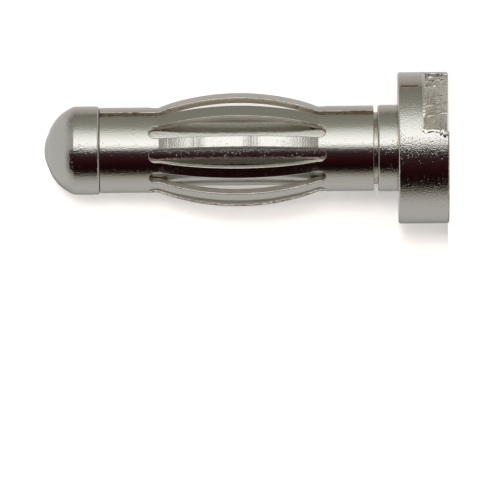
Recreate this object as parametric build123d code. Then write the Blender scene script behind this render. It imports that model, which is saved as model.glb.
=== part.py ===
"""A 4 mm lantern spring plug for a battery lead, in millimetres, +Z up.

The plug stands on its head with its nose up. It is two pieces: a turned pin, and a spring
sleeve rolled from slotted sheet that is sprung over the pin's waist. The origin is the centre
of the head's rear face.
"""

import os
from math import atan, degrees, radians, sin, tan

from build123d import *

# Head: a plain disc that stops the plug at the socket's face
head_diameter = 6.0
head_length = 2.0
head_edge = 0.08

# Wire slot: milled into the head's rear face with one round cutter, from the rim to the middle,
# so that the wire is soldered in at right angles to the plug
wire_slot_width = 3.0
wire_slot_depth = 1.02
wire_slot_heading = -46.75
wire_slot_end = 0.15

# Collar: the shoulder in front of the head
collar_diameter = 3.42
collar_length = 0.8
collar_edge = 0.1

# Waist: the thin part of the pin that the sleeve sits on
waist_diameter = 2.85
sleeve_clearance = 0.015
rear_gap = 0.16
front_gap = 0.05

# Nose: a short cylinder that rolls over into a dome, and the low pip that parting off leaves
nose_diameter = 3.5
nose_land = 0.94
nose_edge = 0.08
nose_roll = 0.7
dome_height = 1.042
dome_crown = 0.18
pip_diameter = 1.31
pip_height = 0.158

# Spring sleeve: slotted sheet, rolled until its two edges nearly meet, with its ribs bowed out
sheet = 0.25
sleeve_length = 10.85
rib_count = 11
rib_width = 0.465
seam_gap = 0.28
seam_heading = -33.45
rear_band = 1.9
front_band = 1.95
rear_land = 0.25
front_land = 0.35
bow_height = 0.57
bend_radius = 0.3

# Places along the plug, from the head's rear face to the nose
collar_front = head_length + collar_length
sleeve_rear = collar_front + rear_gap
sleeve_front = sleeve_rear + sleeve_length
nose_rear = sleeve_front + front_gap
dome_foot = nose_rear + nose_land
pip_foot = dome_foot + dome_height
tip = pip_foot + pip_height

# The sleeve's round form follows the waist, and its slots share out what the ribs leave
sleeve_inside = waist_diameter / 2 + sleeve_clearance
sleeve_outside = sleeve_inside + sheet
pitch = 360 / rib_count
rib_angle = degrees(rib_width / sleeve_outside)
slot_angle = pitch - rib_angle
seam_angle = degrees(seam_gap / sleeve_outside)
edge_rib_angle = pitch - slot_angle / 2 - seam_angle / 2
slot_rear = sleeve_rear + rear_band
slot_front = sleeve_front - front_band
bow_rear = slot_rear + rear_land
bow_front = slot_front - front_land


def turned_pin():
    """The pin's half section, from the rear face along the outside to the tip, turned round."""
    head_r = head_diameter / 2
    collar_r = collar_diameter / 2
    waist_r = waist_diameter / 2
    nose_r = nose_diameter / 2
    with BuildPart() as pin:
        with BuildSketch(Plane.XZ) as section:
            with BuildLine():
                Polyline(
                    (0, tip),
                    (0, 0),
                    (head_r - head_edge, 0),
                    (head_r, head_edge),
                    (head_r, head_length - head_edge),
                    (head_r - head_edge, head_length),
                    (collar_r, head_length),
                    (collar_r, collar_front - collar_edge),
                    (collar_r - collar_edge, collar_front),
                    (waist_r, collar_front),
                    (waist_r, nose_rear),
                    (nose_r - nose_edge, nose_rear),
                    (nose_r, nose_rear + nose_edge),
                    (nose_r, dome_foot),
                )
                SagittaArc((nose_r, dome_foot), (pip_diameter / 2, pip_foot), -dome_crown)
                RadiusArc((0, tip), (pip_diameter / 2, pip_foot), -pip_radius())
            make_face()
            foot = section.vertices().sort_by_distance((nose_r, dome_foot, 0))[0]
            fillet(foot, radius=nose_roll)
        revolve(axis=Axis.Z)
    return pin.part


def pip_radius():
    """The pip is a shallow cap, level at its middle."""
    half = pip_diameter / 2
    return (half**2 + pip_height**2) / (2 * pip_height)


def wire_slot_cutter():
    """A round cutter's path, from its last place near the middle out past the rim."""
    reach = head_diameter
    path = Pos(wire_slot_end, 0, 0) * (
        Circle(wire_slot_width / 2) + Pos(reach / 2, 0, 0) * Rectangle(reach, wire_slot_width)
    )
    return Rot(0, 0, wire_slot_heading) * extrude(path, wire_slot_depth)


def rolled_sheet():
    """The sleeve's round section, before its seam and slots are taken out."""
    return Circle(sleeve_outside) - Circle(sleeve_inside)


def wedge(angle):
    """A triangle from the axis out past the sheet, spanning an angle about +X."""
    reach = 2 * sleeve_outside
    side = reach * tan(radians(angle / 2))
    return make_face(Polyline((0, 0), (reach, -side), (reach, side), (0, 0)))


def rib_middles():
    """Each rib's heading from the seam, and the angle that its section spans."""
    first = seam_angle / 2 + edge_rib_angle / 2
    middles = [(first, edge_rib_angle), (-first, edge_rib_angle)]
    for number in range(1, rib_count - 1):
        middles.append((pitch * (number + 0.5), rib_angle))
    return middles


def bowed_rib(angle):
    """One rib, from its rear bend to its front bend, as thick as the sheet all the way."""
    bow_length = bow_front - bow_rear
    turn = 2 * atan(2 * bow_height / bow_length)
    bow_radius = bow_length / (2 * sin(turn)) - bend_radius
    start = (sleeve_inside + sleeve_outside) / 2
    with BuildLine(Plane.XZ) as spine:
        rear = JernArc((start, bow_rear), (0, 1), bend_radius, -degrees(turn))
        bow = JernArc(rear @ 1, rear % 1, bow_radius, 2 * degrees(turn))
        JernArc(bow @ 1, bow % 1, bend_radius, -degrees(turn))
    section = rolled_sheet() & wedge(angle)
    return sweep(Pos(0, 0, bow_rear) * section, path=spine.line)


def slot_cutter():
    """A slot in the band, with round ends and walls that point to the axis."""
    half_width = sleeve_outside * tan(radians(slot_angle / 2))
    length = slot_front - slot_rear
    outline = Plane.YZ.offset(sleeve_outside) * SlotOverall(length, 2 * half_width, rotation=90)
    inner = extrude(outline, -2 * sheet, taper=slot_angle / 2)
    outer = extrude(outline, sheet)
    return Pos(0, 0, (slot_rear + slot_front) / 2) * (inner + outer)


def spring_sleeve():
    """Two end bands with the slots' round ends in them, joined by the bowed ribs."""
    blank = Pos(0, 0, sleeve_rear) * extrude(rolled_sheet() - wedge(seam_angle), sleeve_length)
    for number in range(1, rib_count):
        blank -= Rot(0, 0, pitch * number) * slot_cutter()
    bow_zone = Pos(0, 0, bow_rear) * extrude(Circle(2 * sleeve_outside), bow_front - bow_rear)
    sleeve = blank - bow_zone
    for heading, angle in rib_middles():
        sleeve += Rot(0, 0, heading) * bowed_rib(angle)
    return Rot(0, 0, seam_heading) * sleeve


def main():
    os.makedirs("parts", exist_ok=True)
    pin = turned_pin() - wire_slot_cutter()
    export_step(pin, "parts/plug_pin.step")
    export_step(spring_sleeve(), "parts/lantern_sleeve.step")


main()
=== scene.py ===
import math

import bmesh
import bpy
from mathutils import Matrix, Vector, noise


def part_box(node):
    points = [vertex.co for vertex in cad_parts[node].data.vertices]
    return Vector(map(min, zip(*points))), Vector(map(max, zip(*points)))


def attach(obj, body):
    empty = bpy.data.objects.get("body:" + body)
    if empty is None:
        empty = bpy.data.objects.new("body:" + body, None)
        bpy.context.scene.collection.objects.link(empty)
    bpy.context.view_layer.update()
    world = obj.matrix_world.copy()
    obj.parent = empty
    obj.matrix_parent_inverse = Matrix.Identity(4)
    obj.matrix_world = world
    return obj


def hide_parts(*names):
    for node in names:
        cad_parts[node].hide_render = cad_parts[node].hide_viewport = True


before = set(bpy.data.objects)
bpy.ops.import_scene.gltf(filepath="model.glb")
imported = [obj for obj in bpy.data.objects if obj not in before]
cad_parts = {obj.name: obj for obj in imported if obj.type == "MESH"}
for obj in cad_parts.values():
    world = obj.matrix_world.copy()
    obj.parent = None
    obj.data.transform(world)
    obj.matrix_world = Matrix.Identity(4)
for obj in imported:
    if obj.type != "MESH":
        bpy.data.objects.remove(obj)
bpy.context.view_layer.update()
mm = 0.001

# Plug pin
# One piece of brass bar, turned in one go: head, collar, thin waist and nose, then parted off,
# which leaves a low pip on the nose. A slot for the wire is milled into the head's rear, and
# the whole pin is plated with bright nickel.
pin_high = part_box("plug_pin")[1]
sleeve_low, sleeve_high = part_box("lantern_sleeve")
head_radius = pin_high.x
head_front = 2.0 * mm
head_round = 0.08 * mm
collar_radius = 1.71 * mm
collar_front = 2.8 * mm
collar_round = 0.09 * mm
waist_radius = 1.425 * mm
nose_radius = 1.75 * mm
nose_rear = sleeve_high.z + 0.012 * mm
nose_round = 0.1 * mm
nose_land = 0.978 * mm
dome_height = 1.042 * mm
dome_crown = 0.18 * mm
dome_blend = 0.2 * mm
pip_radius = 0.655 * mm
pip_blend = 0.015 * mm
tip = pin_high.z
scratch_heading = math.radians(-36.2)
scratch_middle = 1.55 * mm
merge_distance = 0.0005 * mm
TURNED_STEPS = 256
HEAD_FACES = 1

# A half section lies in the X-Z plane, and its heading crossed with this points to its left
LEFT_OF = Vector((0, 1, 0))


def line_to(bm, last, x, z):
    """Draws a straight stretch of a half section and returns its end."""
    end = bmesh.ops.extrude_vert_indiv(bm, verts=[last])["verts"][0]
    end.co = (x, 0, z)
    return end


def arc_to(bm, last, x, z, turn, steps):
    """Draws a round stretch about the point x, z, turning left as it goes."""
    made = bmesh.ops.spin(
        bm, geom=[last], cent=(x, 0, z), axis=(0, -1, 0), angle=turn, steps=steps
    )
    return next(v for v in made["geom_last"] if isinstance(v, bmesh.types.BMVert))


def arc_by_crown(bm, last, x, z, crown, steps):
    """Draws a round stretch from the last point to x, z that stands proud of its chord."""
    chord = Vector((x, 0, z)) - last.co
    half = chord.length / 2
    radius = (half**2 + crown**2) / (2 * crown)
    centre = last.co + chord / 2 + chord.normalized().cross(LEFT_OF) * (radius - crown)
    return arc_to(bm, last, centre.x, centre.z, 2 * math.asin(half / radius), steps)


def rounded_corner(bm, last, x, z, size):
    """Draws straight to just short of an outside corner, then round it to the left."""
    corner = Vector((x, 0, z))
    ahead = (corner - last.co).normalized()
    left = ahead.cross(LEFT_OF)
    start = corner - ahead * size
    before = start - ahead * size / 3
    after = corner + left * size * 4 / 3
    last = line_to(bm, last, before.x, before.z)
    last = line_to(bm, last, start.x, start.z)
    centre = start + left * size
    last = arc_to(bm, last, centre.x, centre.z, math.pi / 2, 6)
    return line_to(bm, last, after.x, after.z)


def mesh_object(name, bm, *materials):
    """Makes a finished mesh into a smooth-shaded object at the origin."""
    mesh = bpy.data.meshes.new(name)
    bm.to_mesh(mesh)
    bm.free()
    for material in materials:
        mesh.materials.append(material)
    mesh.shade_smooth()
    piece = bpy.data.objects.new(name, mesh)
    bpy.context.scene.collection.objects.link(piece)
    return piece


def apply_modifiers(piece):
    """Puts the result of a piece's modifiers into its mesh."""
    depsgraph = bpy.context.evaluated_depsgraph_get()
    mesh = bpy.data.meshes.new_from_object(piece.evaluated_get(depsgraph))
    piece.modifiers.clear()
    piece.data = mesh


def add_node(tree, kind, values=None, **settings):
    """Adds a shader node, with its settings and the values or links of its inputs."""
    node = tree.nodes.new(kind)
    for name, value in settings.items():
        setattr(node, name, value)
    for name, value in (values or {}).items():
        if isinstance(value, bpy.types.NodeSocket):
            tree.links.new(value, node.inputs[name])
        else:
            node.inputs[name].default_value = value
    return node


def new_group(name, inputs, outputs):
    """Starts a node group with named inputs, each with a default, and named outputs."""
    tree = bpy.data.node_groups.new(name, "ShaderNodeTree")
    for socket, value in inputs.items():
        made = tree.interface.new_socket(socket, in_out="INPUT", socket_type="NodeSocketFloat")
        made.default_value = value
    for socket in outputs:
        tree.interface.new_socket(socket, in_out="OUTPUT", socket_type="NodeSocketFloat")
    return tree, tree.nodes.new("NodeGroupInput").outputs, tree.nodes.new("NodeGroupOutput").inputs


def in_millimetres(tree):
    """The place on the piece, in millimetres."""
    place = add_node(tree, "ShaderNodeTexCoord").outputs["Object"]
    scaled = add_node(tree, "ShaderNodeVectorMath", {0: place}, operation="SCALE")
    scaled.inputs["Scale"].default_value = 1000
    return scaled.outputs[0]


def maths(tree, operation, *values):
    """One sum on one, two or three values."""
    return add_node(tree, "ShaderNodeMath", dict(enumerate(values)), operation=operation).outputs[0]


def between(tree, value, low, high, soft=False):
    """How far a value has gone from low to high, from 0 to 1."""
    return add_node(
        tree, "ShaderNodeMapRange", {"Value": value, "From Min": low, "From Max": high},
        interpolation_type="SMOOTHSTEP" if soft else "LINEAR",
    ).outputs[0]


def plated_grain():
    """Bright plating's orange peel, its dents and its pits: a height in mm and a pit mask."""
    tree, given, out = new_group(
        "plated grain", {"Peel": 0.003, "Dents": 0.004, "Pits": 0.5}, ("Height", "Pits")
    )
    place = in_millimetres(tree)
    peel = add_node(
        tree, "ShaderNodeTexNoise",
        {"Vector": place, "Scale": 19.0, "Detail": 1.0, "Roughness": 0.5},
    ).outputs["Fac"]
    dents = add_node(
        tree, "ShaderNodeTexVoronoi", {"Vector": place, "Scale": 11.0, "Randomness": 1.0}
    ).outputs["Distance"]
    dents = between(tree, dents, 0.35, 0.0, soft=True)
    rare = add_node(
        tree, "ShaderNodeTexNoise", {"Vector": place, "Scale": 3.1, "Detail": 1.0}
    ).outputs["Fac"]
    dents = maths(tree, "MULTIPLY", dents, between(tree, rare, 0.4, 0.55))
    pits = add_node(
        tree, "ShaderNodeTexVoronoi", {"Vector": place, "Scale": 4.3}
    ).outputs["Distance"]
    pits = maths(tree, "MULTIPLY", between(tree, pits, 0.1, 0.05), given["Pits"])
    height = maths(tree, "MULTIPLY", peel, given["Peel"])
    height = maths(tree, "MULTIPLY_ADD", dents, given["Dents"], height)
    height = maths(tree, "MULTIPLY_ADD", pits, -0.004, height)
    tree.links.new(height, out["Height"])
    tree.links.new(pits, out["Pits"])
    return tree


def brown_residue_and_painted_shade():
    """Browns deep gaps and corners, not the face it stands on: dried plating salts and painted
    shade.
    """
    tree, given, out = new_group("brown residue", {"Amount": 1.0}, ("Mask",))
    place = in_millimetres(tree)
    # Painted shade: ambient occlusion finds the gaps and corners where shade falls and browns them
    # there.
    corner = add_node(tree, "ShaderNodeAmbientOcclusion", {"Distance": 0.15 * mm}, samples=8)
    deep = between(tree, corner.outputs["AO"], 0.78, 0.42)
    above_floor = add_node(tree, "ShaderNodeSeparateXYZ", {0: place}).outputs["Z"]
    deep = maths(tree, "MULTIPLY", deep, between(tree, above_floor, 0.005, 0.03))
    patches = add_node(
        tree, "ShaderNodeTexNoise",
        {"Vector": place, "Scale": 3.0, "Detail": 4.0, "Roughness": 0.7},
    ).outputs["Fac"]
    cover = maths(tree, "MULTIPLY", deep, between(tree, patches, 0.35, 0.55))
    tree.links.new(maths(tree, "MULTIPLY", cover, given["Amount"]), out["Mask"])
    return tree


grain_group = plated_grain()
residue_and_shade_group = brown_residue_and_painted_shade()


def nickel(
    name, colour, roughness, peel, dents=0.004, pits=0.5, residue_and_shade=0.8, dulled=0.3, marks=None
):
    """Bright nickel plate: a mirror with faint peel and pits, browned in corners by salts and
    painted shade.

    Dulled is how much rougher pits, salts, marks and painted shade make it. Marks, if any, is a
    function of the node tree that gives a further height in millimetres and a further mask that
    browns and dulls it.
    """
    material = bpy.data.materials.new(name)
    material.use_nodes = True
    tree = material.node_tree
    shader = tree.nodes["Principled BSDF"]
    shader.inputs["Metallic"].default_value = 1.0
    grain = add_node(
        tree, "ShaderNodeGroup", {"Peel": peel, "Dents": dents, "Pits": pits}, node_tree=grain_group
    )
    # Browns and dulls gaps and corners: dried salts, plus painted shade where the occlusion is
    # deep.
    stain_and_shade = add_node(tree, "ShaderNodeGroup", {"Amount": residue_and_shade}, node_tree=residue_and_shade_group)
    height = grain.outputs["Height"]
    # Pits, salts, marks and painted corner shade together brown and dull the plate.
    dirt_and_shade = maths(tree, "MAXIMUM", grain.outputs["Pits"], stain_and_shade.outputs["Mask"])
    if marks:
        more_height, more_dirt_and_shade = marks(tree)
        height = maths(tree, "ADD", height, more_height)
        dirt_and_shade = maths(tree, "MAXIMUM", dirt_and_shade, more_dirt_and_shade)
    bump = add_node(tree, "ShaderNodeBump", {"Height": height, "Distance": mm})
    tree.links.new(bump.outputs["Normal"], shader.inputs["Normal"])
    dull = add_node(
        tree, "ShaderNodeMapRange",
        {"Value": dirt_and_shade, "To Min": roughness, "To Max": roughness + dulled},
    ).outputs[0]
    tree.links.new(dull, shader.inputs["Roughness"])
    tint = add_node(
        tree, "ShaderNodeMix", {"Factor": dirt_and_shade, "A": colour, "B": (0.33, 0.2, 0.07, 1)},
        data_type="RGBA",
    )
    tree.links.new(tint.outputs["Result"], shader.inputs["Base Color"])
    return material


def turning_marks(tree):
    """Fine rings that the lathe tool left."""
    place = add_node(tree, "ShaderNodeSeparateXYZ", {0: in_millimetres(tree)}).outputs["Z"]
    rings = add_node(
        tree, "ShaderNodeTexNoise", {"W": place, "Scale": 14.0, "Detail": 2.0, "Roughness": 0.6},
        noise_dimensions="1D",
    ).outputs["Fac"]
    return maths(tree, "MULTIPLY", rings, 0.0012), 0.0


def head_scratch(tree):
    """One dark scratch along the head's rim."""
    parts = add_node(tree, "ShaderNodeSeparateXYZ", {0: in_millimetres(tree)}).outputs
    wander = add_node(
        tree, "ShaderNodeTexNoise", {"W": parts["Z"], "Scale": 7.0}, noise_dimensions="1D"
    )
    heading = maths(tree, "ARCTAN2", parts["Y"], parts["X"])
    heading = maths(tree, "MULTIPLY_ADD", wander.outputs["Fac"], 0.012, heading)
    away = maths(tree, "ABSOLUTE", maths(tree, "SUBTRACT", heading, scratch_heading))
    along = maths(tree, "ABSOLUTE", maths(tree, "SUBTRACT", parts["Z"], scratch_middle / mm))
    scratch = maths(
        tree, "MULTIPLY", between(tree, away, 0.024, 0.013), between(tree, along, 0.37, 0.3)
    )
    return maths(tree, "MULTIPLY", scratch, -0.004), scratch


turned_plating = nickel(
    "turned bright nickel", (0.66, 0.65, 0.62, 1), 0.045, 0.008, dents=0.006, marks=turning_marks
)
head_plating = nickel(
    "head bright nickel", (0.66, 0.65, 0.62, 1), 0.045, 0.0095, dents=0.006, dulled=0.05,
    marks=head_scratch,
)

turned = bmesh.new()
end = turned.verts.new((0, 0, 0))
end = rounded_corner(turned, end, head_radius, 0, head_round)
end = rounded_corner(turned, end, head_radius, head_front, head_round)
end = line_to(turned, end, collar_radius, head_front)
end = rounded_corner(turned, end, collar_radius, collar_front, collar_round)
end = line_to(turned, end, waist_radius, collar_front)
end = line_to(turned, end, waist_radius, nose_rear)
end = rounded_corner(turned, end, nose_radius, nose_rear, nose_round)
dome_foot = line_to(turned, end, nose_radius, nose_rear + nose_land)
dome_top = nose_rear + nose_land + dome_height
pip_foot = arc_by_crown(turned, dome_foot, pip_radius, dome_top, dome_crown, 20)
pip_height = tip - pip_foot.co.z
pip_curve = (pip_radius**2 + pip_height**2) / (2 * pip_height)
arc_to(turned, pip_foot, 0, tip - pip_curve, math.asin(pip_radius / pip_curve), 10)
for foot, blend in ((dome_foot, dome_blend), (pip_foot, pip_blend)):
    bmesh.ops.bevel(
        turned, geom=[foot], offset=blend, offset_type="OFFSET",
        affect="VERTICES", segments=8, profile=0.5, material=-1,
    )
bmesh.ops.spin(
    turned, geom=turned.verts[:] + turned.edges[:], cent=(0, 0, 0), axis=(0, 0, 1),
    angle=2 * math.pi, steps=TURNED_STEPS, use_merge=True,
)
bmesh.ops.remove_doubles(turned, verts=turned.verts, dist=merge_distance)
bmesh.ops.recalc_face_normals(turned, faces=turned.faces)
pin = mesh_object("plug_pin_plated", turned, turned_plating, head_plating)
for face in pin.data.polygons:
    if face.center.z < head_front + 0.01 * mm:
        face.material_index = HEAD_FACES

# Wire slot
# The wire lies in a slot that one round cutter milled from the head's rim to its middle. The
# cutter chattered and tore the wall into slanted ledges, stopped in a smooth round end, and
# pushed up a ragged burr round the slot's mouth.
slot_width = 3.0 * mm
slot_depth = 1.02 * mm
slot_heading = math.radians(-46.75)
slot_end = 0.15 * mm
slot_reach = 3.4 * mm
slot_foot = 0.06 * mm
mouth_round = 0.07 * mm
flare = 0.09 * mm
flare_start = 2.86 * mm
flare_length = 0.14 * mm
shallow_pass = 0.27 * mm
pass_step = 0.008 * mm
half_width = slot_width / 2
below = -0.1 * mm
CUTTER_ROWS = 30
FOOT_ROWS = 4
CUTTER_COLUMNS = 240
MILLED_FACES = 2
SLANT = 0.25
BURR_SIDES = 10
BURR_SPACING = 0.02
BURR_FACES = 3

# Where along the wall each ledge starts and how deep it is, then how long every ledge and its
# face are, in millimetres
LEDGES = (
    (0.385, 0.15), (0.62, 0.06), (0.96, 0.1), (1.22, 0.13), (1.45, 0.09), (2.04, 0.09),
    (2.36, 0.11), (2.56, 0.1),
)
LEDGE_LENGTH = 0.4
LEDGE_FACE = 0.022


def cut_lines(tree):
    """Fine slanted lines that the cutter's teeth drew, with painted shade in their grooves."""
    slant = add_node(
        tree, "ShaderNodeMapping",
        {"Vector": in_millimetres(tree), "Rotation": (0, 0, -slot_heading)}, vector_type="POINT",
    ).outputs[0]
    parts = add_node(tree, "ShaderNodeSeparateXYZ", {0: slant}).outputs
    along = maths(tree, "MULTIPLY_ADD", parts["Z"], SLANT, parts["X"])
    place = add_node(
        tree, "ShaderNodeCombineXYZ", {"X": along, "Z": maths(tree, "MULTIPLY", parts["Z"], 0.16)}
    ).outputs[0]
    lines = add_node(
        tree, "ShaderNodeTexNoise",
        {"Vector": place, "Scale": 11.0, "Detail": 4.0, "Roughness": 0.65},
    ).outputs["Fac"]
    # Painted shade: the grooves between the lines, where the noise is low, are browned and dulled.
    dirt_and_shade = maths(tree, "MULTIPLY", between(tree, lines, 0.42, 0.25), 0.25)
    return maths(tree, "MULTIPLY", lines, 0.04), dirt_and_shade


# The milled wall is a much lighter copy of the same nickel: this extra lightness is painted light.
milled_plating_painted_light = nickel(
    "milled nickel painted lighter", (0.95, 0.93, 0.89, 1), 0.2, 0.01, dents=0.012, residue_and_shade=0.2,
    marks=cut_lines,
)
burr_plating = nickel("torn bright nickel", (0.9, 0.88, 0.84, 1), 0.25, 0.01, pits=1.0, residue_and_shade=1.0)


def cutter_side(bm, last, side, x_from, x_to):
    """Draws one straight side of the cutter's path."""
    for step in range(1, CUTTER_COLUMNS + 1):
        x = x_from + (x_to - x_from) * step / CUTTER_COLUMNS
        last = line_to(bm, last, x, below)
        last.co.y = side
    return last


def torn(along, height):
    """How deep the cutter tore the wall, in mm: ledges that step back towards the rim."""
    wander = noise.noise(Vector((along * 2, height * 3, 4.7)))
    slanted = along + SLANT * height + 0.03 * wander
    depth = 0
    for place, step in LEDGES:
        if place < slanted < place + LEDGE_LENGTH:
            ragged = 0.5 + noise.noise(Vector((place * 9, height * 6, 1.3)))
            nearer_floor = 0.35 + 0.65 * min(max(height, 0), 1) ** 2
            faced = min((slanted - place) / LEDGE_FACE, 1)
            left = 1 - (slanted - place) / LEDGE_LENGTH
            depth += step * max(ragged, 0.3) * nearer_floor * faced * left
    if slanted > LEDGES[0][0]:
        tooth = (slanted * 8.3 + 0.8 * wander) % 1
        depth += 0.006 * (1 - tooth) * (0.6 + noise.noise(Vector((along * 5, height * 7, 2.2))))
        chip = noise.noise(Vector((along * 6, height * 7, 7.9)))
        depth += 0.12 * max(chip - 0.25, 0) * (0.2 + height**2 if height > 0 else 0.2)
    return depth


cutter = bmesh.new()
end = cutter.verts.new((slot_reach, half_width, below))
end = cutter_side(cutter, end, half_width, slot_reach, slot_end)
made = bmesh.ops.spin(
    cutter, geom=[end], cent=(slot_end, 0, below), axis=(0, 0, 1), angle=math.pi, steps=96
)
end = next(v for v in made["geom_last"] if isinstance(v, bmesh.types.BMVert))
end = cutter_side(cutter, end, -half_width, slot_end, slot_reach)
cutter.verts.ensure_lookup_table()
cutter.edges.new((end, cutter.verts[0]))
rim = cutter.edges[:]
straight = slot_depth - slot_foot - below
heights = [below + straight * (row + 1) / CUTTER_ROWS for row in range(CUTTER_ROWS)]
for row in range(FOOT_ROWS):
    heights.append(slot_depth - slot_foot * (1 - math.sin(math.pi / 2 * (row + 1) / FOOT_ROWS)))
for height in heights:
    made = bmesh.ops.extrude_edge_only(cutter, edges=rim)["geom"]
    rim = [e for e in made if isinstance(e, bmesh.types.BMEdge)]
    for v in made:
        if isinstance(v, bmesh.types.BMVert):
            v.co.z = height
bmesh.ops.holes_fill(cutter, edges=[e for e in cutter.edges if e.is_boundary], sides=0)
for v in cutter.verts:
    spine = Vector((min(max(v.co.x, slot_end), slot_reach), 0, v.co.z))
    outward = v.co - spine
    rise = max(v.co.z - (slot_depth - slot_foot), 0)
    drawn_in = slot_foot - math.sqrt(max(slot_foot**2 - rise**2, 0))
    fall = min(max(mouth_round - v.co.z, 0), mouth_round)
    opened = mouth_round - math.sqrt(mouth_round**2 - fall**2)
    near_rim = min(max(math.hypot(v.co.x, v.co.y) - flare_start, 0) / flare_length, 1)
    opened += flare * near_rim**2
    wider = pass_step if v.co.z < shallow_pass else 0
    rough = torn(v.co.x / mm, v.co.z / mm) * mm if v.co.x > slot_end else 0
    v.co = spine + outward * (1 + (rough + opened + wider - drawn_in) / half_width)
bmesh.ops.recalc_face_normals(cutter, faces=cutter.faces)
bmesh.ops.rotate(
    cutter, verts=cutter.verts, cent=(0, 0, 0), matrix=Matrix.Rotation(slot_heading, 3, "Z")
)
tool = mesh_object("slot_cutter", cutter, turned_plating, head_plating, milled_plating_painted_light)
for face in tool.data.polygons:
    face.material_index = MILLED_FACES
cut = pin.modifiers.new("wire slot", "BOOLEAN")
cut.operation = "DIFFERENCE"
cut.solver = "EXACT"
cut.material_mode = "TRANSFER"
cut.object = tool
apply_modifiers(pin)
bpy.data.objects.remove(tool)
pin.data.materials.append(burr_plating)


def burr(bm, places, lift):
    """A ragged bead on the head's rim, as high as lift times its half width.

    Its places are given as heading in degrees, and height and half width in millimetres.
    """
    stations = []
    for (turn, height, size), (turn_to, height_to, size_to) in zip(places, places[1:]):
        length = math.hypot(math.radians(turn_to - turn) * head_radius / mm, height_to - height)
        steps = max(round(length / BURR_SPACING), 1)
        for step in range(steps):
            share = step / steps
            stations.append((
                turn + (turn_to - turn) * share, height + (height_to - height) * share,
                size + (size_to - size) * share,
            ))
    stations.append(places[-1])
    ring = bmesh.ops.create_circle(bm, cap_ends=True, radius=1, segments=BURR_SIDES)["verts"]
    edges = list({e for v in ring for e in v.link_edges})
    faces = list({f for v in ring for f in v.link_faces})
    for number, (turn, height, size) in enumerate(stations):
        if number:
            made = bmesh.ops.extrude_edge_only(bm, edges=edges)["geom"]
            edges = [e for e in made if isinstance(e, bmesh.types.BMEdge)]
            faces += [f for f in made if isinstance(f, bmesh.types.BMFace)]
            ring = [v for v in made if isinstance(v, bmesh.types.BMVert)]
        turn_to, height_to = stations[min(number + 1, len(stations) - 1)][:2]
        turn_from, height_from = stations[max(number - 1, 0)][:2]
        outward = Vector((math.cos(math.radians(turn)), math.sin(math.radians(turn)), 0))
        round_rim = Vector((-outward.y, outward.x, 0))
        ahead = round_rim * math.radians(turn_to - turn_from) * head_radius / mm
        ahead.z += height_to - height_from
        side = ahead.normalized().cross(outward)
        swell = 1 + 0.5 * noise.noise(Vector((turn * 0.6, height * 11, 3.1)))
        swell *= 0.3 if number in (0, len(stations) - 1) else 1
        middle = outward * (head_radius / mm) + Vector((0, 0, height))
        for corner, v in enumerate(ring):
            round_ring = 2 * math.pi * corner / BURR_SIDES
            lump = 1 + 0.35 * noise.noise(Vector((turn * 0.9, height * 15, corner * 1.7)))
            v.co = middle + side * math.cos(round_ring) * size * swell * lump
            v.co += outward * math.sin(round_ring) * size * lift * swell * lump
            v.co *= mm
    faces += bmesh.ops.holes_fill(bm, edges=edges, sides=0)["faces"]
    for face in faces:
        face.material_index = BURR_FACES
        face.smooth = True
    bmesh.ops.recalc_face_normals(bm, faces=faces)


# The burr's three runs: along the slot's floor, down its open lip, and down its other side
FLOOR_RUN = ((-6, 0.985, 0.05), (-30, 0.985, 0.055), (-64, 0.985, 0.055), (-67.5, 1.0, 0.03))
LIP_RUN = (
    (-69.7, 1.05, 0.02), (-72, 1.12, 0.032), (-74.6, 1.13, 0.042), (-77, 1.03, 0.06),
    (-78.1, 0.93, 0.09), (-77.7, 0.75, 0.07), (-77.5, 0.62, 0.06), (-77.9, 0.45, 0.075),
    (-78.8, 0.3, 0.11), (-79.8, 0.17, 0.15), (-79.6, 0.1, 0.13), (-78.8, 0.05, 0.08),
)
SIDE_RUN = (
    (-12.6, 1.0, 0.03), (-13.4, 0.8, 0.05), (-13.0, 0.55, 0.04), (-13.4, 0.3, 0.05),
    (-14, 0.08, 0.045),
)
whole = bmesh.new()
whole.from_mesh(pin.data)
for run, lift in ((FLOOR_RUN, 0.45), (LIP_RUN, 0.34), (SIDE_RUN, 0.6)):
    burr(whole, run, lift)
whole.to_mesh(pin.data)
whole.free()
pin.data.set_sharp_from_angle(angle=math.radians(35))
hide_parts("plug_pin")
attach(pin, "root")

# Lantern sleeve
# Spring sheet, punched with slots, rolled round the waist until its edges nearly meet and bowed
# out between its two end bands. Tumbling rounded its edges, and it is plated like the pin.
sheet = 0.25 * mm
sleeve_radius = 1.69 * mm
RIB_COUNT = 11
rib_width = 0.465 * mm
seam_gap = 0.28 * mm
seam_heading = math.radians(-33.45)
rear_band = 1.9 * mm
front_band = 1.95 * mm
rear_land = 0.25 * mm
front_land = 0.35 * mm
bow_height = 0.57 * mm
bend_radius = 0.3 * mm
edge_round = 0.035 * mm
edge_margin = 0.1 * mm
flat_height = 0.2 * mm
FLATTEST = 0.88
BEND_ROWS = 6
BOW_ROWS = 64
ARC_STEPS = 24
RINGS = 6

pitch = 2 * math.pi / RIB_COUNT
slot_angle = pitch - rib_width / sleeve_radius
seam_angle = seam_gap / sleeve_radius
slot_half = slot_angle / 2
margin_angle = edge_margin / sleeve_radius
slot_rear = sleeve_low.z + rear_band
slot_front = sleeve_high.z - front_band
bow_rear = slot_rear + rear_land
bow_front = slot_front - front_land
bow_length = bow_front - bow_rear
bow_turn = 2 * math.atan(2 * bow_height / bow_length)
bow_radius = bow_length / (2 * math.sin(bow_turn)) - bend_radius
bow_middle = (bow_rear + bow_front) / 2
mid_radius = sleeve_radius - sheet / 2
arc_radius = slot_half * sleeve_radius
front_centre = slot_front - arc_radius


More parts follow.
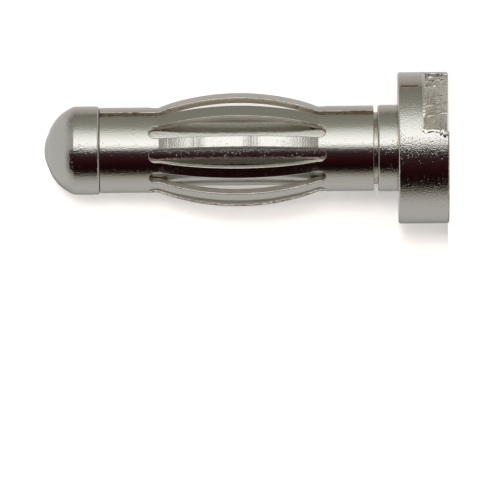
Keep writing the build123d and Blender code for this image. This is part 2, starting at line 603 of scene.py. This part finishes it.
def bow_point(share):
    """Along the bow from rear to front: how far out, how high, and how much it leans out."""
    bend = bend_radius * bow_turn
    whole = 2 * bend + 2 * bow_radius * bow_turn
    gone = share * whole
    if gone <= bend:
        lean = gone / bend_radius
        return bend_radius * (1 - math.cos(lean)), bow_rear + bend_radius * math.sin(lean), lean
    if gone >= whole - bend:
        out, height, lean = bow_point((whole - gone) / whole)
        return out, bow_rear + bow_front - height, -lean
    lean = bow_turn - (gone - bend) / bow_radius
    out = bow_height - bow_radius * (1 - math.cos(lean))
    return out, bow_middle - bow_radius * math.sin(lean), lean


def rolled(angle, middle, out, height, lean):
    """Where a place in the flat sheet comes to lie when the sheet is rolled and bowed.

    A rib that is bowed out loses most of its roundness across, like a bent tape measure.
    """
    flattened = min(out / flat_height, FLATTEST)
    fall = sleeve_radius * (1 - math.cos(angle - middle)) * (1 - flattened)
    thick = sheet / 2 - fall
    along = mid_radius + out + thick * math.cos(lean)
    aside = sleeve_radius * math.sin(angle - middle)
    heading = seam_heading + middle
    return (
        along * math.cos(heading) - aside * math.sin(heading),
        along * math.sin(heading) + aside * math.cos(heading),
        height - thick * math.sin(lean),
    )


def bow_shares():
    """Stations along a rib, closer together in its two bends, as shares of its length."""
    bend = bend_radius / (2 * bend_radius + 2 * bow_radius)
    shares = [bend * step / BEND_ROWS for step in range(BEND_ROWS)]
    shares += [bend + (1 - 2 * bend) * step / BOW_ROWS for step in range(BOW_ROWS)]
    return shares + [1 - bend + bend * step / BEND_ROWS for step in range(BEND_ROWS + 1)]


def round_slot(left_reach, right_reach):
    """The places round one slot in the flat sheet, each from the slot's edge to its cell's edge.

    Each is three pairs of angle and height (edge, margin, cell) and the station on the rib, if
    it has one: the left rib from the rear to the front, the front end, the right rib back, and
    the rear end.
    """
    stations = [bow_point(share) for share in bow_shares()] + [(0, front_centre, 0)]
    outside = slot_half + margin_angle
    left = [(-slot_half, -outside, -left_reach, place) for place in stations]
    right = [(slot_half, outside, right_reach, place) for place in reversed(stations)]
    places = [((a, z[1]), (b, z[1]), (c, z[1]), z) for a, b, c, z in left]
    places += slot_end_places(front_centre, sleeve_high.z, 1, left_reach, right_reach)
    places += [((a, z[1]), (b, z[1]), (c, z[1]), z) for a, b, c, z in right]
    places += slot_end_places(bow_rear, sleeve_low.z, -1, left_reach, right_reach)
    places.append(places[0])
    return places


def slot_end_places(centre, end, way, left_reach, right_reach):
    """The places round one of a slot's ends, from the left to the right at the front end."""
    places = []
    sides = ARC_STEPS // 3
    for step in range(1, ARC_STEPS):
        turn = math.pi * (1 - step / ARC_STEPS)
        across, ahead = math.cos(turn), math.sin(turn) * way
        edge = (slot_half * across, centre + arc_radius * ahead)
        margin = ((slot_half + margin_angle) * across, centre + (arc_radius + edge_margin) * ahead)
        if step <= sides:
            cell = (-left_reach, centre + (end - centre) * (step / sides) ** 1.6)
        elif step >= ARC_STEPS - sides:
            cell = (right_reach, centre + (end - centre) * ((ARC_STEPS - step) / sides) ** 1.6)
        else:
            share = (step - sides) / (ARC_STEPS - 2 * sides)
            cell = (-left_reach + (left_reach + right_reach) * share, end)
        places.append((edge, margin, cell, None))
    return places if way > 0 else places[::-1]


blank = bmesh.new()
for number in range(1, RIB_COUNT):
    centre = number * pitch
    far = pitch - seam_angle / 2
    left_reach = far if number == 1 else pitch / 2
    right_reach = far if number == RIB_COUNT - 1 else pitch / 2
    left_middle = -(slot_half + far) / 2 if number == 1 else -pitch / 2
    right_middle = (slot_half + far) / 2 if number == RIB_COUNT - 1 else pitch / 2
    places = round_slot(left_reach, right_reach)
    cell = bmesh.ops.create_grid(blank, x_segments=len(places) - 1, y_segments=RINGS, size=1)
    for v in cell["verts"]:
        edge, margin, outer, station = places[round((v.co.x + 1) / 2 * (len(places) - 1))]
        ring = round((v.co.y + 1) / 2 * RINGS)
        share = (ring - 1) / (RINGS - 1)
        angle, height = edge if ring == 0 else (
            margin[0] + (outer[0] - margin[0]) * share, margin[1] + (outer[1] - margin[1]) * share
        )
        out, height, lean = station or (0, height, 0)
        middle = left_middle if angle < 0 else right_middle
        v.co = rolled(centre + angle, centre + middle, out, height, lean)
bmesh.ops.remove_doubles(blank, verts=blank.verts, dist=merge_distance)
bmesh.ops.recalc_face_normals(blank, faces=blank.faces)
first = next(iter(blank.faces))
middle = first.calc_center_median()
if first.normal.dot(Vector((middle.x, middle.y, 0))) < 0:
    bmesh.ops.reverse_faces(blank, faces=blank.faces)


# Where the waves are strong, on one rib alone: the middle, the reach and the depth, in millimetres
PATCHES = ((9.87, 0.36, 0.015), (7.82, 0.42, 0.024), (11.2, 0.14, 0.005), (5.7, 0.3, 0.004))
waved_rib = math.radians(-82.5)
unstained = 8.4 * mm


def seam_stain(tree):
    """Golden-brown salts that dried along the seam's edges, least halfway along the sleeve."""
    place = in_millimetres(tree)
    parts = add_node(tree, "ShaderNodeSeparateXYZ", {0: place}).outputs
    heading = maths(tree, "ARCTAN2", parts["Y"], parts["X"])
    away = maths(tree, "ABSOLUTE", maths(tree, "SUBTRACT", heading, seam_heading))
    near = between(tree, away, 0.115, 0.095, soft=True)
    reach = maths(tree, "ABSOLUTE", maths(tree, "SUBTRACT", parts["Z"], unstained / mm))
    ends = between(tree, reach, 2.6, 5.2)
    streaks = add_node(
        tree, "ShaderNodeVectorMath", {0: place, 1: (3.2, 3.2, 1)}, operation="MULTIPLY"
    )
    patches = add_node(
        tree, "ShaderNodeTexNoise",
        {"Vector": streaks.outputs[0], "Scale": 3.4, "Detail": 4.0, "Roughness": 0.75},
    ).outputs["Fac"]
    cover = between(tree, maths(tree, "MULTIPLY_ADD", ends, 0.08, patches), 0.55, 0.63)
    return 0.0, maths(tree, "MULTIPLY", maths(tree, "MULTIPLY", near, cover), 0.8)


def sheared_edge(tree):
    """The punch left a bright band next to the sheet's outside and a dull torn one further in."""
    parts = add_node(tree, "ShaderNodeSeparateXYZ", {0: in_millimetres(tree)}).outputs
    along = maths(tree, "SUBTRACT", parts["Z"], bow_middle / mm)
    along = maths(tree, "DIVIDE", along, bow_length / 2 / mm)
    crown = bow_height / mm
    bow = maths(tree, "MULTIPLY_ADD", maths(tree, "MULTIPLY", along, along), -crown, crown)
    bow = maths(tree, "MAXIMUM", bow, 0)
    aside = maths(tree, "MULTIPLY", parts["Y"], parts["Y"])
    radius = maths(tree, "SQRT", maths(tree, "MULTIPLY_ADD", parts["X"], parts["X"], aside))
    depth = maths(tree, "SUBTRACT", maths(tree, "ADD", bow, sleeve_radius / mm), radius)
    torn_band = maths(tree, "MULTIPLY", between(tree, depth, 0.05, 0.09), 0.3)
    return 0.0, maths(tree, "MAXIMUM", torn_band, seam_stain(tree)[1])


def rolling_marks(tree):
    """Faint crossways waves where the sheet was rolled and bowed, stronger in patches."""
    place = in_millimetres(tree)
    along = add_node(tree, "ShaderNodeSeparateXYZ", {0: place}).outputs["Z"]
    waves = add_node(
        tree, "ShaderNodeTexNoise", {"W": along, "Scale": 12.0, "Detail": 3.0, "Roughness": 0.7},
        noise_dimensions="1D",
    ).outputs["Fac"]
    strength = 0.0008
    for middle, reach, depth in PATCHES:
        away = maths(tree, "ABSOLUTE", maths(tree, "SUBTRACT", along, middle))
        patch = between(tree, away, reach, 0.5 * reach, soft=True)
        strength = maths(tree, "MULTIPLY_ADD", patch, depth, strength)
    parts = add_node(tree, "ShaderNodeSeparateXYZ", {0: place}).outputs
    heading = maths(tree, "ARCTAN2", parts["Y"], parts["X"])
    away = maths(tree, "ABSOLUTE", maths(tree, "SUBTRACT", heading, waved_rib))
    strength = maths(tree, "MULTIPLY", strength, between(tree, away, 0.24, 0.2))
    return maths(tree, "MULTIPLY", waves, strength), seam_stain(tree)[1]


sleeve_plating = nickel(
    "rolled bright nickel", (0.66, 0.65, 0.61, 1), 0.045, 0.0065, dents=0.003, marks=rolling_marks
)
# The punched edges are a much lighter copy of the nickel, painted light for light from below; their
# torn band and seam stain are real.
cut_plating_painted_light = nickel(
    "punched edge plating painted lighter", (0.95, 0.93, 0.88, 1), 0.1, 0.008, dents=0.01, dulled=0.9,
    marks=sheared_edge,
)
# The inside is a lighter copy of the nickel: painted light for the light the pale card would send
# in.
inside_plating_painted_light = nickel("dull inside nickel painted lighter", (0.88, 0.85, 0.79, 1), 0.38, 0.006)
sleeve = mesh_object("lantern_sleeve_plated", blank, sleeve_plating, cut_plating_painted_light, inside_plating_painted_light)
wall = sleeve.modifiers.new("sheet", "SOLIDIFY")
wall.thickness = sheet
wall.offset = -1
wall.use_even_offset = True
wall.material_offset_rim = 1
wall.material_offset = 2
tumbled = sleeve.modifiers.new("tumbled edges", "BEVEL")
tumbled.width = edge_round
tumbled.segments = 4
tumbled.limit_method = "ANGLE"
tumbled.angle_limit = math.radians(50)
tumbled.harden_normals = True
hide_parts("lantern_sleeve")
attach(sleeve, "root")

# Camera
# It looks at the plug from the side, from half a metre, turned so that the nose is to the left
# and the head is half a degree higher.
frame_width = 500
pixel = 0.0396 * mm
camera_distance = 0.4989
axis_rise = math.radians(0.5)
head_rear_pixel = (448.4, 147.4)
right = Vector((-math.sin(axis_rise), 0, -math.cos(axis_rise)))
up = Vector((math.cos(axis_rise), 0, -math.sin(axis_rise)))
aim = right * (frame_width / 2 - head_rear_pixel[0]) * pixel
aim -= up * (frame_width / 2 - head_rear_pixel[1]) * pixel
camera_data = bpy.data.cameras.new("camera")
camera_data.sensor_width = 36
camera_data.lens = camera_data.sensor_width * camera_distance / (frame_width * pixel)
camera_data.clip_start = 0.01
camera_data.clip_end = 10
camera = bpy.data.objects.new("camera", camera_data)
back = right.cross(up)
camera.matrix_world = Matrix.Translation(aim + back * camera_distance) @ Matrix(
    (right, up, back)
).transposed().to_4x4()
bpy.context.scene.collection.objects.link(camera)
bpy.context.scene.camera = camera

# Floor and backdrop
# A pale floor that the plug stands on, and a pale card that leans on its head and its nose from
# behind and takes its shadow. Both are open from behind and stay out of the reflections.
card_half = 1.5
card_gap = 0.01 * mm
card_lean = math.atan2(head_radius - nose_radius, nose_rear + nose_land - head_front)


def card_material(name, own_light):
    """White card, a little brighter to the camera than the lamps make it, and open from behind."""
    material = bpy.data.materials.new(name)
    material.use_nodes = True
    tree = material.node_tree
    shader = tree.nodes["Principled BSDF"]
    shader.inputs["Base Color"].default_value = (0.95, 0.92, 0.9, 1)
    shader.inputs["Roughness"].default_value = 0.9
    shader.inputs["Specular IOR Level"].default_value = 0.0
    shader.inputs["Emission Color"].default_value = (1, 1, 1, 1)
    seen = add_node(tree, "ShaderNodeLightPath").outputs["Is Camera Ray"]
    tree.links.new(maths(tree, "MULTIPLY", seen, own_light), shader.inputs["Emission Strength"])
    clear = add_node(tree, "ShaderNodeBsdfTransparent")
    side = add_node(tree, "ShaderNodeNewGeometry").outputs["Backfacing"]
    mix = add_node(
        tree, "ShaderNodeMixShader", {0: side, 1: shader.outputs[0], 2: clear.outputs[0]}
    )
    tree.links.new(mix.outputs[0], tree.nodes["Material Output"].inputs["Surface"])
    return material


def card(name, material):
    """A square card, lying flat with its face up."""
    bm = bmesh.new()
    bmesh.ops.create_grid(bm, x_segments=1, y_segments=1, size=card_half)
    made = mesh_object(name, bm, material)
    return made


floor = card("floor", card_material("pale floor", 0.5))
floor.data.transform(Matrix.Translation((0, 0, -card_gap)))
floor.visible_glossy = False
backdrop = card("backdrop", card_material("pale backdrop", 0.18))
backdrop.data.transform(Matrix.Translation((0, card_half, 0)))
backdrop.data.transform(Matrix.Rotation(math.radians(90) + card_lean, 4, "X"))
backdrop.data.transform(
    Matrix.Translation((0, head_radius + head_front * math.tan(card_lean) + card_gap, 0))
)
backdrop.visible_glossy = False
backdrop.visible_shadow = False

# Light
# One broad soft light from the camera's side, a little above it, in a pale room with a dark gap
# under the light, so that the round plating shows a bright band next to a dark one. The light
# itself is in the world. Of two suns without a reflection, a soft one gives the card its shadow
# and one as wide as the sky lights it as the room does.
lamp_heading = 49
lamp_reach = 59
lamp_top = math.sin(math.radians(29))
room_top = 0.7

# The room's colours, by heading in degrees from the camera's side towards the picture's top
around = (
    (-180, (0.35, 0.34, 0.33)), (-170, (0.2, 0.2, 0.19)), (-156, (0.37, 0.36, 0.35)),
    (-140, (0.5, 0.49, 0.47)), (-115, (0.56, 0.55, 0.53)), (-90, (0.52, 0.5, 0.48)),
    (-79, (0.38, 0.36, 0.32)), (-71, (0.22, 0.2, 0.17)), (-66, (0.04, 0.03, 0.02)),
    (-58, (0.01, 0.005, 0.004)), (-45, (0.012, 0.003, 0.003)), (-28, (0.03, 0.006, 0.007)),
    (-12, (0.045, 0.021, 0.022)), (-3, (0.08, 0.073, 0.069)), (2, (0.28, 0.27, 0.26)),
    (6, (1.2, 1.18, 1.14)), (12, (1.5, 1.49, 1.47)), (28, (1.32, 1.32, 1.29)),
    (40, (1.05, 1.06, 1.03)), (50, (0.76, 0.77, 0.74)), (57, (0.52, 0.52, 0.47)),
    (64, (0.36, 0.36, 0.31)), (80, (0.29, 0.285, 0.24)), (101, (0.25, 0.24, 0.21)),
    (104, (0.18, 0.17, 0.15)), (108, (0.18, 0.17, 0.15)), (112, (0.4, 0.38, 0.34)),
    (128, (0.5, 0.45, 0.42)), (150, (0.58, 0.55, 0.53)), (172, (0.62, 0.61, 0.6)),
)
world = bpy.data.worlds.new("studio")
world.use_nodes = True
bpy.context.scene.world = world
sky = world.node_tree
direction = add_node(sky, "ShaderNodeTexCoord").outputs["Generated"]
parts = add_node(sky, "ShaderNodeSeparateXYZ", {0: direction}).outputs
toward = maths(sky, "MULTIPLY", parts["Y"], -1.0)
turn = maths(sky, "ARCTAN2", parts["X"], toward)
turn = maths(sky, "MULTIPLY_ADD", turn, 1 / (2 * math.pi), 0.5)
ramp = add_node(sky, "ShaderNodeValToRGB", {"Fac": turn})
stops = ramp.color_ramp.elements
for number, (degrees, colour) in enumerate(around):
    stop = stops[number] if number < 2 else stops.new(1.0)
    stop.position = degrees / 360 + 0.5
    stop.color = (*colour, 1)
steep = maths(sky, "ABSOLUTE", parts["Z"])
far_end = maths(sky, "MULTIPLY_ADD", parts["Y"], 0.35, steep)
over_lamp = between(sky, steep, lamp_top - 0.08, lamp_top + 0.08, soft=True)
lamp_side = maths(sky, "COMPARE", turn, lamp_heading / 360 + 0.5, lamp_reach / 360)
over_lamp = maths(sky, "MULTIPLY", over_lamp, lamp_side)
above = add_node(
    sky, "ShaderNodeMix",
    {"Factor": over_lamp, "A": ramp.outputs["Color"], "B": (0.42, 0.41, 0.37, 1)},
    data_type="RGBA", blend_type="DARKEN",
).outputs["Result"]
over_room = between(sky, far_end, room_top - 0.07, room_top + 0.05, soft=True)
surround = add_node(
    sky, "ShaderNodeMix", {"Factor": over_room, "A": above, "B": (0.58, 0.57, 0.55, 1)},
    data_type="RGBA",
).outputs["Result"]
seen = add_node(sky, "ShaderNodeLightPath").outputs["Is Camera Ray"]
shown = add_node(
    sky, "ShaderNodeMix", {"Factor": seen, "A": surround, "B": (1, 1, 1, 1)}, data_type="RGBA"
).outputs["Result"]
sky.links.new(shown, sky.nodes["Background"].inputs["Color"])
for name, strength, spread, rise in (("soft sun", 0.5, 14, 11), ("room light", 0.42, 180, 0)):
    lamp = bpy.data.lights.new(name, "SUN")
    lamp.energy = strength * math.pi
    lamp.angle = math.radians(spread)
    sun = bpy.data.objects.new(name, lamp)
    heading = Vector((-math.sin(math.radians(rise)), math.cos(math.radians(rise)), -0.05))
    sun.rotation_euler = heading.to_track_quat("-Z", "Y").to_euler()
    sun.visible_glossy = False
    bpy.context.scene.collection.objects.link(sun)

bpy.context.scene.view_settings.view_transform = "Standard"
